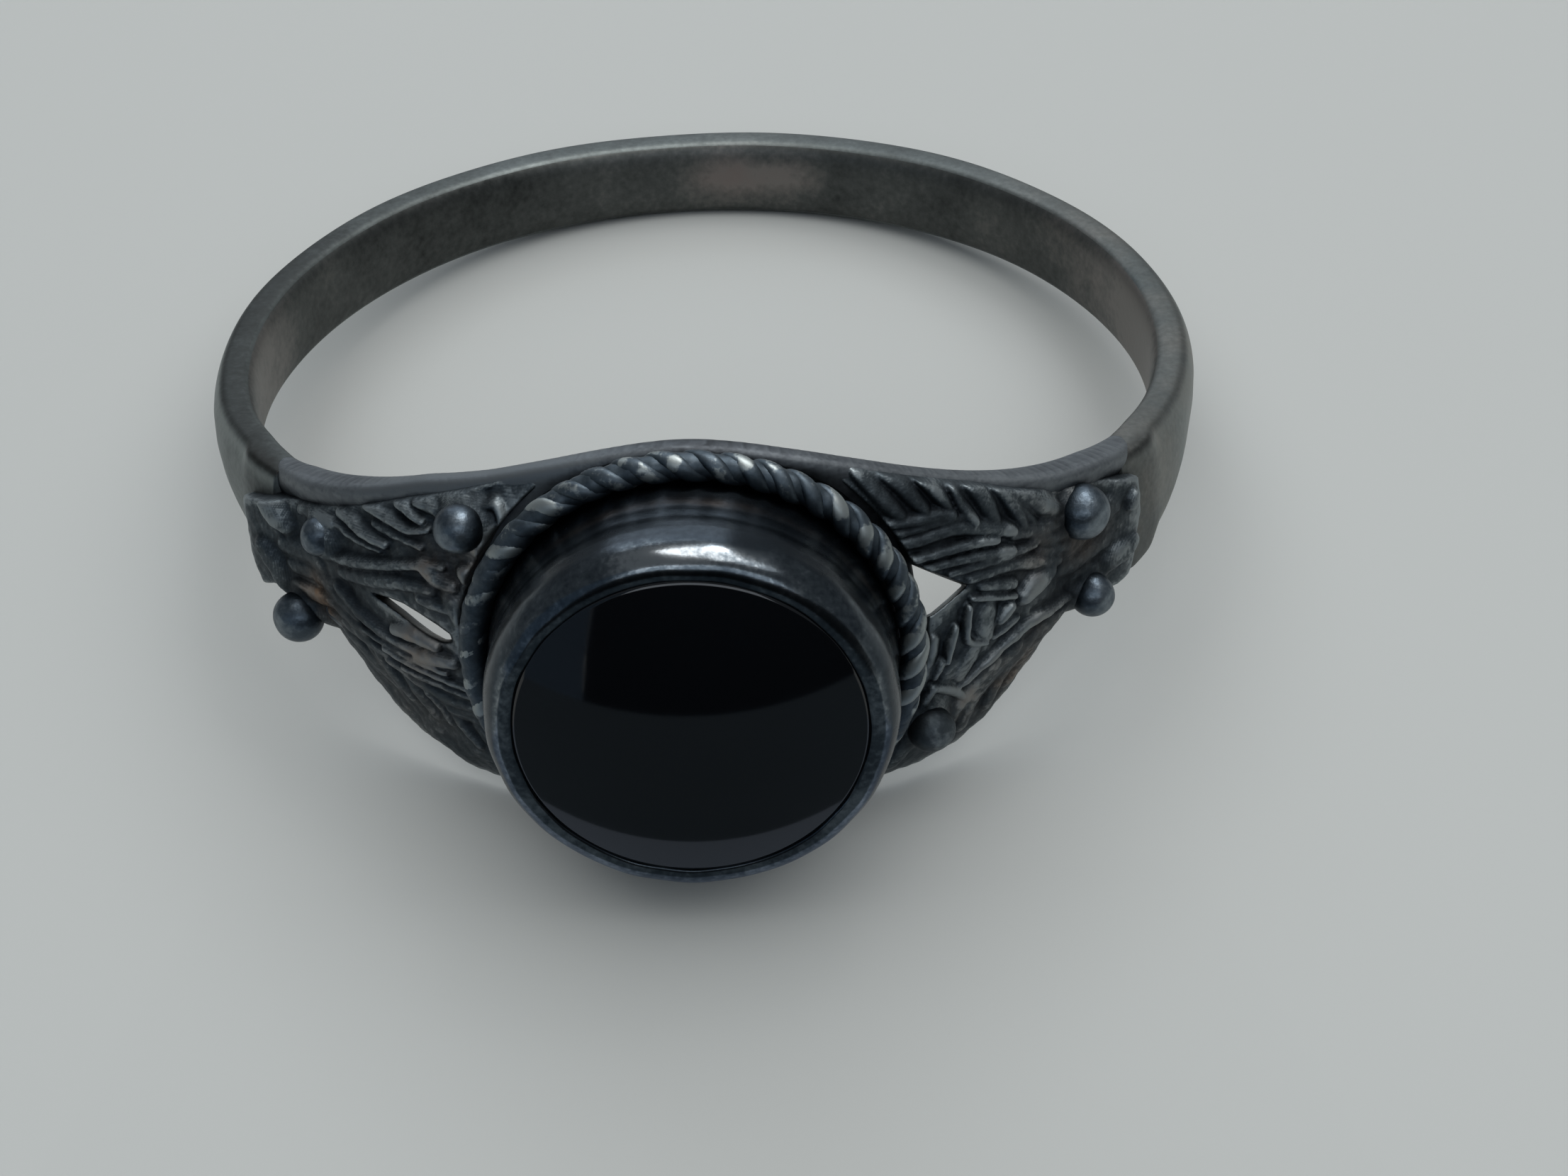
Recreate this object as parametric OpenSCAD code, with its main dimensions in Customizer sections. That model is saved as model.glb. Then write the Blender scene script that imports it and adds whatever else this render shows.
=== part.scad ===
// Onyx ring: a round black cabochon in a plain bezel, a border of twisted wire round its
// foot, and two pierced shoulders of feathered leaves, all soldered up in silver.
// Millimetres. The ring lies on its side, as it rests by itself, with its head to -Y.

/* [Finger hole] */
// Diameter of the hole for the finger
finger_d = 17.3; // [16.5:0.1:18.2]

/* [Shank] */
// Width of the band at the back of the finger
shank_w = 1.7; // [1.5:0.1:2.0]
// Width of the band where it meets the shoulders
shank_end_w = 2.2; // [2.0:0.1:2.4]
// Thickness of the band at its two edges
shank_edge_t = 0.55; // [0.45:0.05:0.7]
// Thickness of the band along its middle
shank_t = 0.8; // [0.7:0.05:1.0]
// Angle round the finger, from the middle of the head, at which the band ends
shank_end_angle = 54; // [52:1:58]
// Thickness of the band where it meets the shoulders
shank_end_t = 0.95; // [0.85:0.05:1.1]

/* [Head plate] */
// Width of the plate along the finger, under the middle of the head
plate_w = 7.36; // [7.2:0.02:7.6]
// Thickness of the plate
plate_t = 0.5; // [0.4:0.05:0.6]
// Angle over which the wave of the plate's edge falls away
plate_wave_angle = 36; // [33:1:39]

/* [Bezel] */
// Diameter of the cup inside
cup_d = 6.04; // [6.0:0.02:6.1]
// Thickness of the cup's wall
cup_wall = 0.35; // [0.3:0.05:0.45]
// Height of the cup's seat above the finger's centre line
seat_h = 9.35; // [9.3:0.05:9.5]
// Height of the cup's wall above its seat, up to the start of its rounded lip
cup_h = 1.87; // [1.6:0.05:2.2]
// Radius of the rounded lip
lip_r = 0.4; // [0.35:0.05:0.45]
// How far the lip leans in over the stone
lip_lean = 0.1; // [0.08:0.01:0.12]

/* [Stone] */
// Diameter of the cabochon
stone_d = 5.9; // [5.85:0.01:5.92]
// Rise of the dome over the cabochon's edge
dome_rise = 0.77; // [0.5:0.01:1.2]

/* [Twisted wire border] */
// Diameter of the circle that the wire follows
rope_ring_d = 7.36; // [7.34:0.02:7.46]
// Diameter of the twisted wire
rope_d = 0.58; // [0.5:0.02:0.58]
// Number of full turns of the twist round the border
rope_turns = 21; // [18:1:26]

/* [Leaf shoulders] */
// Height of the leaves' surface above the bore, at the bezel
leaf_t_head = 1.3; // [1.1:0.05:1.4]
// Height of the leaves' surface above the bore, at the end of the band
leaf_t_end = 0.8; // [0.7:0.05:0.95]
// Radius of the leaves' belly from their upper to their lower edge
leaf_belly_r = 6; // [5.5:0.1:8]
// How far the barbs of the leaves stand up from the ground between them
barb_relief = 0.18; // [0.1:0.02:0.22]
// Width of one barb
barb_w = 0.24; // [0.18:0.02:0.3]

/* [Granules] */
// Diameter of the smooth boss between the leaves
boss_d = 1.1; // [1.0:0.1:1.3]
// How far the granules at the ends of the band stand above the bore, at their centres
granule_h = 0.9; // [0.85:0.05:1.0]
// How far the granules beside the border stand above the bore, at their centres
inner_granule_h = 1.1; // [1.05:0.05:1.2]

/* [Hidden] */
$fn = 96;

finger_r = finger_d / 2;
band_edge_r = finger_r + shank_edge_t;
band_r = finger_r + shank_t;
plate_r = finger_r + plate_t;
cup_r = cup_d / 2;
cup_outer_r = cup_r + cup_wall;
stone_r = stone_d / 2;
rope_ring_r = rope_ring_d / 2;
rope_r = rope_d / 2;
soldered = 0.05;
clear = 0.05;
through = 30;
pad_sweep = 7;
pad_rise = 0.14;

// The wave of the plate's edge: its half width at an angle round the finger
wave_power = 1.8;
function plate_half(angle) =
    shank_w / 2 + (plate_w - shank_w) / 2 * exp(-pow(abs(angle) / plate_wave_angle, wave_power));

// The leaves' surface is a cylinder that stands nearer the head than the bore does, so the
// shoulders thicken towards the bezel
head_angle = 22;
end_angle = 48;
leaf_head_r = finger_r + leaf_t_head;
leaf_end_r = finger_r + leaf_t_end;
leaf_centre = (leaf_head_r ^ 2 - leaf_end_r ^ 2)
    / (2 * (leaf_head_r * cos(head_angle) - leaf_end_r * cos(end_angle)));
leaf_r = sqrt(leaf_head_r ^ 2 - 2 * leaf_head_r * leaf_centre * cos(head_angle) + leaf_centre ^ 2);

// Heights along the head's axis, from the finger's centre line
floor_h = seat_h + 0.1;
wall_top_h = seat_h + cup_h;
lip_inner_r = cup_r - lip_lean;
lip_under_h = wall_top_h + lip_r / 2;
lip_tip_h = lip_under_h + 0.9 * lip_lean;
stone_back_h = floor_h + clear;
girdle_h = lip_under_h + 0.01;
stone_top_h = girdle_h + dome_rise;
dome_r = (stone_r ^ 2 + dome_rise ^ 2) / (2 * dome_rise);
rope_h = seat_h + rope_r - soldered;

// The ring rests on the back edge of its band and the foot of its head, so it leans back
rest_run = rope_h + band_edge_r;
rest_rise = rope_ring_r - shank_w / 2;
rest_tilt = atan2(rest_rise, rest_run) + asin(rope_r / norm([rest_run, rest_rise]));
rest_lift = band_edge_r * sin(rest_tilt) + shank_w / 2 * cos(rest_tilt);
back_y = band_r * cos(rest_tilt) + shank_w / 8 * sin(rest_tilt);
front_y = dome_r + (stone_top_h - dome_r) * cos(rest_tilt);
rest_shift = (front_y - back_y) / 2;

// Angle round the finger and height along it, of points on the right shoulder
shoulder_angle = 35;
flat_r = 9.5;
function flat(p) = [flat_r * sin(p[0] - shoulder_angle), p[1]];

// The leaves of a shoulder overhang the plate's lower edge a little, on the right and on the
// left, and run as far as these angles
leaf_overhang = [0.14, 0.2];
leaf_span = [49, 16];
// Lines between the leaves of the right shoulder: angle, height
upper_leaf_inside = [[16, 0.15], [30, 0.15], [35, 0.06], [40, 0.2], [49, 0.35]];
lower_leaf_inside = [[16, 0], [30, 0], [35, -0.05], [40, -0.2], [49, -0.6]];
// Midribs, from the granule at the band's end to the bezel: angle, height
upper_rib = [[45, 0.82], [20, 2.4]];
lower_rib = [[45.5, -0.9], [20, -2.0]];
rib_w = 0.22;
// Barbs: first and last place along the midrib, number, first and last slant, length
upper_barbs = [[0.1, 0.86, 7, -22, -42, 1.7], [0.02, 0.6, 4, 13, 9, 3.4]];
lower_barbs = [[0.1, 0.8, 6, -26, -34, 2.2], [0.06, 0.84, 7, 24, 36, 1.7]];
// Pierced holes beside the border, the left one as it lies after its half turn
right_hole = [[16, 1.8], [20.8, 1.45], [27.9, 0.58], [31, 0.25], [33.6, -0.35], [28.9, -0.74], [16, -0.5]];
left_hole = [[39.6, 0.7], [36.7, 0.88], [33.8, 1.02], [16, 0.95], [16, 0], [24.1, -0.1], [28.2, -0.3],
             [32.4, -0.3]];
// Granules at the ends of the band and beside the border: angle, height, radius
granules = [[45.1, 0.8, 0.45], [46.5, -1.12, 0.38], [-43.6, 0.78, 0.36], [-48.5, -1.22, 0.44]];
inner_granules = [[25.9, -2.1, 0.4], [-23.2, 2.15, 0.42]];
boss_at = [37.2, -0.16];

silver = "#4b5155";
onyx = "#0d1014";

// Turns the finger's axis back and sets the ring on the surface that it rests on
module at_rest() {
    translate([0, rest_shift, rest_lift]) rotate([-rest_tilt, 0, 0]) children();
}

// Extrudes an outline of X and Z along -Y, out of the finger
module outwards(depth) {
    rotate([90, 0, 0]) linear_extrude(depth) children();
}

// Extrudes an outline of the right shoulder outwards, square to its middle
module shoulder_block(points) {
    rotate([0, 0, shoulder_angle]) outwards(through / 2) polygon([for (p = points) flat(p)]);
}

// The inside of the leaves' bellied surface, or of one that lies higher or lower
module under_leaf_surface(rise) {
    belly = leaf_belly_r + rise;
    translate([0, -leaf_centre, 0]) rotate_extrude() intersection() {
        translate([leaf_r - leaf_belly_r, 0]) circle(r = belly);
        translate([0, -belly]) square([leaf_r + 1, 2 * belly]);
    }
}

// A crowned section with its flat side on the finger: its rise is the crown's over the width
module band_section(width, thickness, rise) {
    crown_r = ((width / 2) ^ 2 + rise ^ 2) / (2 * rise);
    intersection() {
        translate([finger_r + thickness - crown_r, 0]) circle(r = crown_r);
        translate([finger_r - soldered, -shank_end_w / 2]) square([thickness + soldered, shank_end_w]);
    }
}

// A crowned section swept between two angles from the middle of the head
module band_arc(from, to, width, thickness, rise) {
    rotate([0, 0, from - 90]) rotate_extrude(angle = to - from) band_section(width, thickness, rise);
}

// The band, from one shoulder round the back of the finger to the other, with a squarer pad
// at each end where it thickens to meet the leaves
module shank() {
    straight_y = -finger_r * cos(shank_end_angle);
    taper_y = straight_y + 2.6;
    far_y = finger_r + 2;
    half = shank_w / 2;
    end_half = shank_end_w / 2;
    side = [[-far_y, end_half], [straight_y, end_half], [taper_y, half], [far_y, half]];
    intersection() {
        union() {
            band_arc(shank_end_angle, 360 - shank_end_angle, shank_w, shank_t, shank_t - shank_edge_t);
            band_arc(shank_end_angle, shank_end_angle + pad_sweep, shank_end_w, shank_end_t, pad_rise);
            band_arc(-shank_end_angle - pad_sweep, -shank_end_angle, shank_end_w, shank_end_t, pad_rise);
        }
        rotate([90, 0, 90]) linear_extrude(through, center = true)
            polygon(concat(side, [for (i = [len(side) - 1:-1:0]) [side[i][0], -side[i][1]]]));
    }
}

// The curved plate under the head and the shoulders
module head_plate() {
    reach = shank_end_angle + 6;
    step = 4;
    edge = [for (a = [-reach:step:reach]) [plate_r * sin(a), plate_half(a)]];
    intersection() {
        outwards(through / 2)
            polygon(concat(edge, [for (i = [len(edge) - 1:-1:0]) [edge[i][0], -edge[i][1]]]));
        translate([0, 0, -plate_w]) cylinder(h = 2 * plate_w, r = plate_r);
    }
}

// One barb or midrib: a tapered strip from a to b in the shoulder's flat
module strip(a, b, root_w, tip_w) {
    along = (b - a) / norm(b - a);
    across = [-along[1], along[0]];
    rotate([0, 0, shoulder_angle]) outwards(through / 2)
        polygon([a - across * root_w / 2, b - across * tip_w / 2,
                 b + across * tip_w / 2, a + across * root_w / 2]);
}

// A leaf's outline: outside, the plate's edge and what overhangs it; inside, the line between
// the leaves
function leaf_outline(side, overhang, inside) =
    concat([for (a = [leaf_span[0]:-3:leaf_span[1]]) [a, side * (plate_half(a) + overhang)]], inside);

// One feathered leaf: its ground, its midrib and the barbs on both sides of it
module leaf(outline, rib, barbs) {
    a = flat(rib[0]);
    b = flat(rib[1]);
    heading = atan2(b[1] - a[1], b[0] - a[0]);
    intersection() {
        shoulder_block(outline);
        union() {
            under_leaf_surface(-barb_relief);
            intersection() {
                under_leaf_surface(0);
                union() {
                    strip(a, b, rib_w, rib_w * 0.8);
                    for (row = barbs, i = [0:row[2] - 1]) {
                        part = i / (row[2] - 1);
                        root = a + (b - a) * (row[0] + (row[1] - row[0]) * part);
                        slant = heading + row[3] + (row[4] - row[3]) * part;
                        strip(root, root + row[5] * [cos(slant), sin(slant)], barb_w, barb_w * 0.7);
                    }
                }
            }
        }
    }
}

// Both leaves of the right shoulder, with what overhangs the plate above and below, and the
// smooth boss between them, clear of the border
module leaves(above, below) {
    difference() {
        union() {
            leaf(leaf_outline(1, above, upper_leaf_inside), upper_rib, upper_barbs);
            leaf(leaf_outline(-1, below, lower_leaf_inside), lower_rib, lower_barbs);
            rotate([0, 0, boss_at[0]])
                translate([0, -finger_r - leaf_t_end + boss_d / 5, boss_at[1]]) sphere(d = boss_d);
        }
        translate([0, -seat_h + clear, 0]) outwards(through)
            circle(r = rope_ring_r + rope_r + clear);
    }
}

module granule_row(row, height) {
    for (g = row)
        rotate([0, 0, g[0]]) translate([0, -finger_r - height, g[1]]) sphere(r = g[2]);
}

// The cup that holds the stone, on a solid seat: radius, height above the finger's axis
module bezel() {
    lip_steps = 6;
    lip_centre = [cup_outer_r - lip_r, wall_top_h];
    lip = [for (i = [0:lip_steps])
        lip_centre + lip_r * [cos(90 * i / lip_steps), sin(90 * i / lip_steps)]];
    outwards(seat_h) circle(r = rope_ring_r - soldered);
    rotate([90, 0, 0]) rotate_extrude()
        polygon(concat([[0, seat_h - 1], [cup_outer_r, seat_h - 1]], lip,
                       [[lip_inner_r, lip_tip_h], [cup_r, lip_under_h], [cup_r, floor_h], [0, floor_h]]));
}

// Border of two wires twisted together: each section has a crest for either strand, and is
// turned by one of its points from the last
module rope() {
    bulge = [1, 0.8, 0.58, 0.8, 1, 0.8, 0.58, 0.8];
    points = len(bulge);
    sections = rope_turns * points;
    vertices = [for (i = [0:sections - 1], j = [0:points - 1])
        let (a = 360 * i / sections, b = 360 * (j - i) / points,
             r = rope_ring_r + rope_r * bulge[j] * cos(b))
        [r * cos(a), -rope_h + rope_r * bulge[j] * sin(b), r * sin(a)]];
    function at(i, j) = (i % sections) * points + j % points;
    sides = [for (i = [0:sections - 1], j = [0:points - 1])
        each [[at(i, j), at(i + 1, j), at(i + 1, j + 1)], [at(i, j), at(i + 1, j + 1), at(i, j + 1)]]];
    polyhedron(points = vertices, faces = sides);
}

// A hole through the right shoulder that runs in under the edge of the border
module pierced(outline) {
    difference() {
        shoulder_block(outline);
        outwards(through) circle(r = rope_ring_r + rope_r / 3);
    }
}

module silver_ring() {
    color(silver) at_rest() difference() {
        union() {
            shank();
            head_plate();
            leaves(0, leaf_overhang[0]);
            rotate([0, 180, 0]) leaves(leaf_overhang[1], 0);
            granule_row(granules, granule_h);
            granule_row(inner_granules, inner_granule_h);
            bezel();
            rope();
        }
        translate([0, 0, -through / 2]) cylinder(h = through, r = finger_r);
        pierced(right_hole);
        rotate([0, 180, 0]) pierced(left_hole);
    }
}

module onyx_stone() {
    color(onyx) at_rest() rotate([90, 0, 0]) intersection() {
        translate([0, 0, stone_back_h]) cylinder(h = stone_top_h, r = stone_r);
        translate([0, 0, stone_top_h - dome_r]) sphere(r = dome_r);
    }
}

silver_ring();
onyx_stone();
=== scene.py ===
# Onyx ring: an oxidised silver ring with a low round black cabochon in a plain bezel, a border
# of twisted wire round its foot, and two pierced shoulders of feathered leaves with granules.
# Sizes are in millimetres in the ring's own frame: the finger runs along Z and the head is at -Y.
# A place on it is an angle round the finger, 0 at the head and more to the right, and a height.
from math import cos, pi, radians, sin

import bpy
import numpy as np
import openvdb
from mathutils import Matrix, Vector


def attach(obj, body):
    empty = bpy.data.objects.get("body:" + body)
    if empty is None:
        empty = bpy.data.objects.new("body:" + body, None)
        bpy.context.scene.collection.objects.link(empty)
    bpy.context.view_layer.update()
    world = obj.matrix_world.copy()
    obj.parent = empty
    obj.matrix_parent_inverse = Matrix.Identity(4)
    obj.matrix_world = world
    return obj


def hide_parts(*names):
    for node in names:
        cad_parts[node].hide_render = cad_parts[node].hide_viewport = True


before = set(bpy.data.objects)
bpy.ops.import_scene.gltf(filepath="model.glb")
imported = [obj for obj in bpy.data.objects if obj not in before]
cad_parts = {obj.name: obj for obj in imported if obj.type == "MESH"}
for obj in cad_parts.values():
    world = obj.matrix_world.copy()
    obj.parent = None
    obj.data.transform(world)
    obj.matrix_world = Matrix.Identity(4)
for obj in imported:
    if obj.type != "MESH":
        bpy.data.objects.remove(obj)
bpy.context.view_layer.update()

# Shank: a band of half-round silver wire, bent round the finger, that ends in a squarer pad at
# each shoulder, where it is soldered to the head plate. The outside is worn to a grey sheen and
# the inside has kept a brown tarnish, which no polishing wheel reaches.
finger_r = 8.65
band_half_w, pad_half_w = 0.85, 1.1
band_edge_t, band_mid_t = 0.55, 0.8
back_edge_t, back_mid_t = 0.82, 0.94
pad_edge_t, pad_mid_t = 0.7, 0.81
side_edge_more, side_mid_more = 0.16, 0.03
pad_from, pad_to = 54, 61
flare_from, flare_to, flare_r = 2.3, 5.3, 9.1
lower_belly = 0.19
rest_tilt, rest_shift, rest_lift = radians(9.4395), 1.3798, 2.3473


def at_rest(points):
    """Turns points of the ring's own frame, in millimetres, to where it lies, in metres."""
    x, y, z = np.asarray(points, float).T
    y, z = y * cos(rest_tilt) + z * sin(rest_tilt), z * cos(rest_tilt) - y * sin(rest_tilt)
    return np.stack([x, y + rest_shift, z + rest_lift], 1) / 1000


def add_piece(name, points, faces, wear_and_painted_light, finish, brown=None,
              stands_for="silver_ring"):
    """Makes one piece of the ring. Its wear is 0 in a recess, 0.5 on a flat and 1 on an edge, and in
    some places it holds painted highlights and painted shade too. brown is how much brown tarnish
    has stayed, and on the bezel's wall it holds a painted reflection too."""
    mesh = bpy.data.meshes.new(name)
    mesh.from_pydata(at_rest(points).tolist(), [], [list(map(int, face)) for face in faces])
    mesh.polygons.foreach_set("use_smooth", np.ones(len(mesh.polygons), bool))
    for mark, values in (("wear_and_painted_light", wear_and_painted_light), ("brown", np.zeros(len(points)) if brown is None else brown)):
        layer = mesh.attributes.new(mark, "FLOAT", "POINT")
        layer.data.foreach_set("value", np.asarray(values, np.float32))
    mesh.materials.append(finish)
    made = bpy.data.objects.new(name, mesh)
    bpy.context.scene.collection.objects.link(made)
    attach(made, "root")
    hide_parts(stands_for)
    return made


def loft(rings, closed=False):
    """Quads between the rings of points, each of which is closed, and caps on the two ends."""
    count, around = rings.shape[:2]
    index = np.arange(count * around).reshape(count, around)
    last = np.roll(index, -1, 0) if closed else index[1:]
    first = index if closed else index[:-1]
    quads = np.stack([first, np.roll(first, -1, 1), np.roll(last, -1, 1), last], -1).reshape(-1, 4)
    caps = [] if closed else [index[0][::-1], index[-1]]
    return rings.reshape(-1, 3), list(quads) + caps


def smooth_step(low, high, value):
    """0 up to low and 1 from high on, with a soft rise between them. low may be the larger."""
    part = np.clip((value - low) / (high - low), 0, 1)
    return part * part * (3 - 2 * part)


def linear(colour):
    """An sRGB hex colour as the linear red, green, blue and alpha of a node's socket."""
    parts = [int(colour[i:i + 2], 16) / 255 for i in (1, 3, 5)]
    return [c / 12.92 if c <= 0.04045 else ((c + 0.055) / 1.055) ** 2.4 for c in parts] + [1]


def add_node(tree, kind, settings=(), links=()):
    """Adds a node with its settings, by property or input name, and links inputs to outputs."""
    made = tree.nodes.new("ShaderNode" + kind)
    for key, value in dict(settings).items():
        if isinstance(key, int) or key in made.inputs:
            made.inputs[key].default_value = value
        else:
            setattr(made, key, value)
    for key, output in dict(links).items():
        tree.links.new(output, made.inputs[key])
    return made


def oxidised_silver(name, tones, gloss, patch=0.9, grain=0.16, recess=0.35, wear_and_painted_light=1.0, bump=1.0,
                    scratch=0.5, tarnish="#6b5848"):
    """Silver blackened with liver of sulphur and rubbed back, so it is black in the recesses and
    grey on the edges. tones are its colours from recess to edge, and gloss is the roughness of
    both ends. patch, grain and recess are in millimetres: the size of the stains and of the
    casting's skin, and how wide a recess may be and stay black. Silver's real grain is a tenth of
    this, too fine to show, so it is drawn coarser."""
    made = bpy.data.materials.new(name)
    made.use_nodes = True
    tree = made.node_tree
    surface = tree.nodes["Principled BSDF"]
    surface.inputs["Metallic"].default_value = 1
    place = add_node(tree, "TexCoord").outputs["Object"]
    edge_wear_and_light = add_node(tree, "Attribute", {"attribute_name": "wear_and_painted_light"}).outputs["Fac"]
    stain = add_node(tree, "TexNoise", {"Scale": 1000 / patch, "Detail": 5, "Roughness": 0.62},
                     {"Vector": place}).outputs["Fac"]
    skin = add_node(tree, "TexNoise", {"Scale": 1000 / grain, "Detail": 3, "Roughness": 0.55},
                    {"Vector": place}).outputs["Fac"]
    # The tone is how rubbed a point is, with the painted highlights and shade that the wear holds,
    # and shares of the stains, the skin and the open air
    stain_share, skin_share, air_share, darkest, lightest = 0.55, 0.3, 0.45, 0.72, 1.62
    air = add_node(tree, "AmbientOcclusion", {"samples": 6, "Distance": recess / 1000}).outputs["AO"]
    rubbed_and_lit = add_node(tree, "Math", {"operation": "MULTIPLY_ADD", 1: wear_and_painted_light, 2: 0.5 - 0.5 * wear_and_painted_light},
                      {0: edge_wear_and_light})
    stained = add_node(tree, "Math", {"operation": "MULTIPLY_ADD", 1: stain_share},
                       {0: stain, 2: rubbed_and_lit.outputs[0]})
    pitted = add_node(tree, "Math", {"operation": "MULTIPLY_ADD", 1: skin_share},
                      {0: skin, 2: stained.outputs[0]})
    shaded = add_node(tree, "Math", {"operation": "MULTIPLY_ADD", 1: air_share},
                      {0: air, 2: pitted.outputs[0]})
    tone = add_node(tree, "MapRange", {"From Min": darkest, "From Max": lightest},
                    {"Value": shaded.outputs[0]})
    ramp = add_node(tree, "ValToRGB", links={"Fac": tone.outputs[0]})
    stops = ramp.color_ramp.elements
    while len(stops) < len(tones):
        stops.new(0.5)
    for stop, (at, colour) in zip(stops, tones):
        stop.position, stop.color = at, linear(colour)
    dull = add_node(tree, "MapRange", {"To Min": gloss[0], "To Max": gloss[1]},
                    {"Value": tone.outputs[0]})
    # Polishing scratches about 1.1 mm long and a ninth as wide, coarser than the real hair lines
    lines = add_node(tree, "Mapping", {"Rotation": (0.3, 0.5, 0.2), "Scale": (1, 9, 1)},
                     {"Vector": place})
    scratches = add_node(tree, "TexNoise", {"Scale": 900, "Detail": 4, "Roughness": 0.7},
                         {"Vector": lines.outputs[0]}).outputs["Fac"]
    rough = add_node(tree, "Math", {"operation": "MULTIPLY_ADD", 1: scratch}, {0: scratches, 2: skin})
    lumps = add_node(tree, "Bump", {"Strength": min(1, 0.35 * bump), "Distance": 0.04 * bump / 1000},
                     {"Height": rough.outputs[0]})
    # The brown attribute tints the tones with brown tarnish, and on the bezel's wall with a painted
    # reflection
    browned = add_node(tree, "Attribute", {"attribute_name": "brown"}).outputs["Fac"]
    patchy = add_node(tree, "MapRange", {"From Min": 0.35, "From Max": 0.65}, {"Value": stain})
    cover = add_node(tree, "Math", {"operation": "MULTIPLY", "use_clamp": True},
                     {0: browned, 1: patchy.outputs[0]})
    warm = add_node(tree, "Mix", {"data_type": "RGBA", "blend_type": "COLOR", 7: linear(tarnish)},
                    {0: cover.outputs[0], 6: ramp.outputs["Color"]})
    tree.links.new(warm.outputs[2], surface.inputs["Base Color"])
    tree.links.new(dull.outputs[0], surface.inputs["Roughness"])
    tree.links.new(lumps.outputs[0], surface.inputs["Normal"])
    return made


# Outside, the drawn wire was blackened and then rubbed with fine grit: an even satin grey
band_finish = oxidised_silver("oxidised_silver_band",
                              [(0, "#2b2a28"), (0.35, "#434645"), (0.65, "#636867"), (1, "#848a88")],
                              (0.62, 0.5), patch=2.2, grain=0.12, recess=0.3, wear_and_painted_light=0.6, bump=0.5)
# Inside, only the finger rubs the oxide away: darker, and in broad soft patches
bore_finish = oxidised_silver("oxidised_silver_bore",
                              [(0, "#1b1d1d"), (0.4, "#343635"), (0.7, "#5a5c5a"), (1, "#827f7b")],
                              (0.62, 0.5), patch=1.6, grain=0.15, recess=0.3, bump=0.6,
                              tarnish="#7a716d")

# Sections of the band, set closer together in the pads, and how far each is from the head
spin = np.concatenate([np.linspace(pad_from, pad_to + 2, 40), np.linspace(pad_to + 2.5, 180, 110)])
spin = np.concatenate([spin, 360 - spin[-2::-1]])[:, None]
angle = np.radians(spin)
away = np.minimum(spin, 360 - spin)
on_left = spin > 180
in_pad = smooth_step(pad_to + 3, pad_to - 1, away)
near_pad = smooth_step(80, 63, away)
near_head = smooth_step(150, 110, away)
at_sides = np.exp(-((away - 95) / 28) ** 2)
at_back = smooth_step(85, 165, away)
flare = smooth_step(-flare_from, -flare_to, -flare_r * np.cos(angle))
half_w = band_half_w + (pad_half_w - band_half_w) * flare
edge_t = (band_edge_t + (pad_edge_t - band_edge_t) * in_pad + (back_edge_t - band_edge_t) * at_back
          + side_edge_more * at_sides)
mid_t = (band_mid_t + (pad_mid_t - band_mid_t) * in_pad + (back_mid_t - band_mid_t) * at_back
         + side_mid_more * at_sides)
hand_filed = 0.012 * np.sin(5 * angle + 1) + 0.007 * np.sin(13 * angle)

# Points round a section: out is -1 in the bore and 1 outside, side is 1 at the upper edge. A low
# power gives square corners and a high one round corners.
turn = np.linspace(0, 2 * pi, 48, endpoint=False)
out, side = np.sin(turn)[None, :], np.cos(turn)[None, :]
power = np.where(out > 0, 0.36 - 0.1 * in_pad + 0.1 * at_sides, 0.3 + 0.28 * smooth_step(62, 85, away))
out, side = np.sign(out) * np.abs(out) ** power, np.sign(side) * np.abs(side) ** power

# The upper edge thins into the shoulder. The right pad is filed thick and wide below, and the
# left one is wide on both edges.
thick = edge_t + (mid_t - edge_t) * (1 - side ** 2)
upper_t = np.interp(away, [pad_from, pad_from + 4], [0.93, 1.03])
thick = thick * (1 - (1 - upper_t) * smooth_step(-0.2, 0.6, side))
thick = thick + near_pad * np.where(on_left, -0.04, 0.12 * smooth_step(0.3, -0.5, side))
reach = finger_r + (thick + hand_filed) * (out + 1) / 2
level = (half_w + hand_filed * 0.6) * side
wider = np.where(on_left, np.where(level > 0, 0.12, 0.1),
                 np.where(level > 0, 0, 0.32) * smooth_step(53, 57, away))
level = level * (1 + near_pad * wider)
level = level * (1 + lower_belly * np.exp(-((away - 104) / 28) ** 2) * (level < 0))
points, faces = loft(np.stack([reach * np.sin(angle), -reach * np.cos(angle), level], -1))

# Outside, hands rub the faces beside the head, and the edges at the back and the pads stay dark.
# Beside the head the upper edge is darker, most on the left, as painted shade over its highlight,
# and on the left the outer face below it is lighter, a painted reflection of the table top
wear_and_painted_light = (0.45 - 0.08 * np.abs(out * side) ** 4
        + near_head * 0.48 * smooth_step(0.96, 0.8, side) * (out > 0)
        - near_head * np.where(on_left, 0.5, 0.1) * smooth_step(0.88, 0.98, side)
        + near_head * on_left * 0.25 * smooth_step(0.8, 0.95, out) * smooth_step(0.7, 0.9, side))
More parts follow.
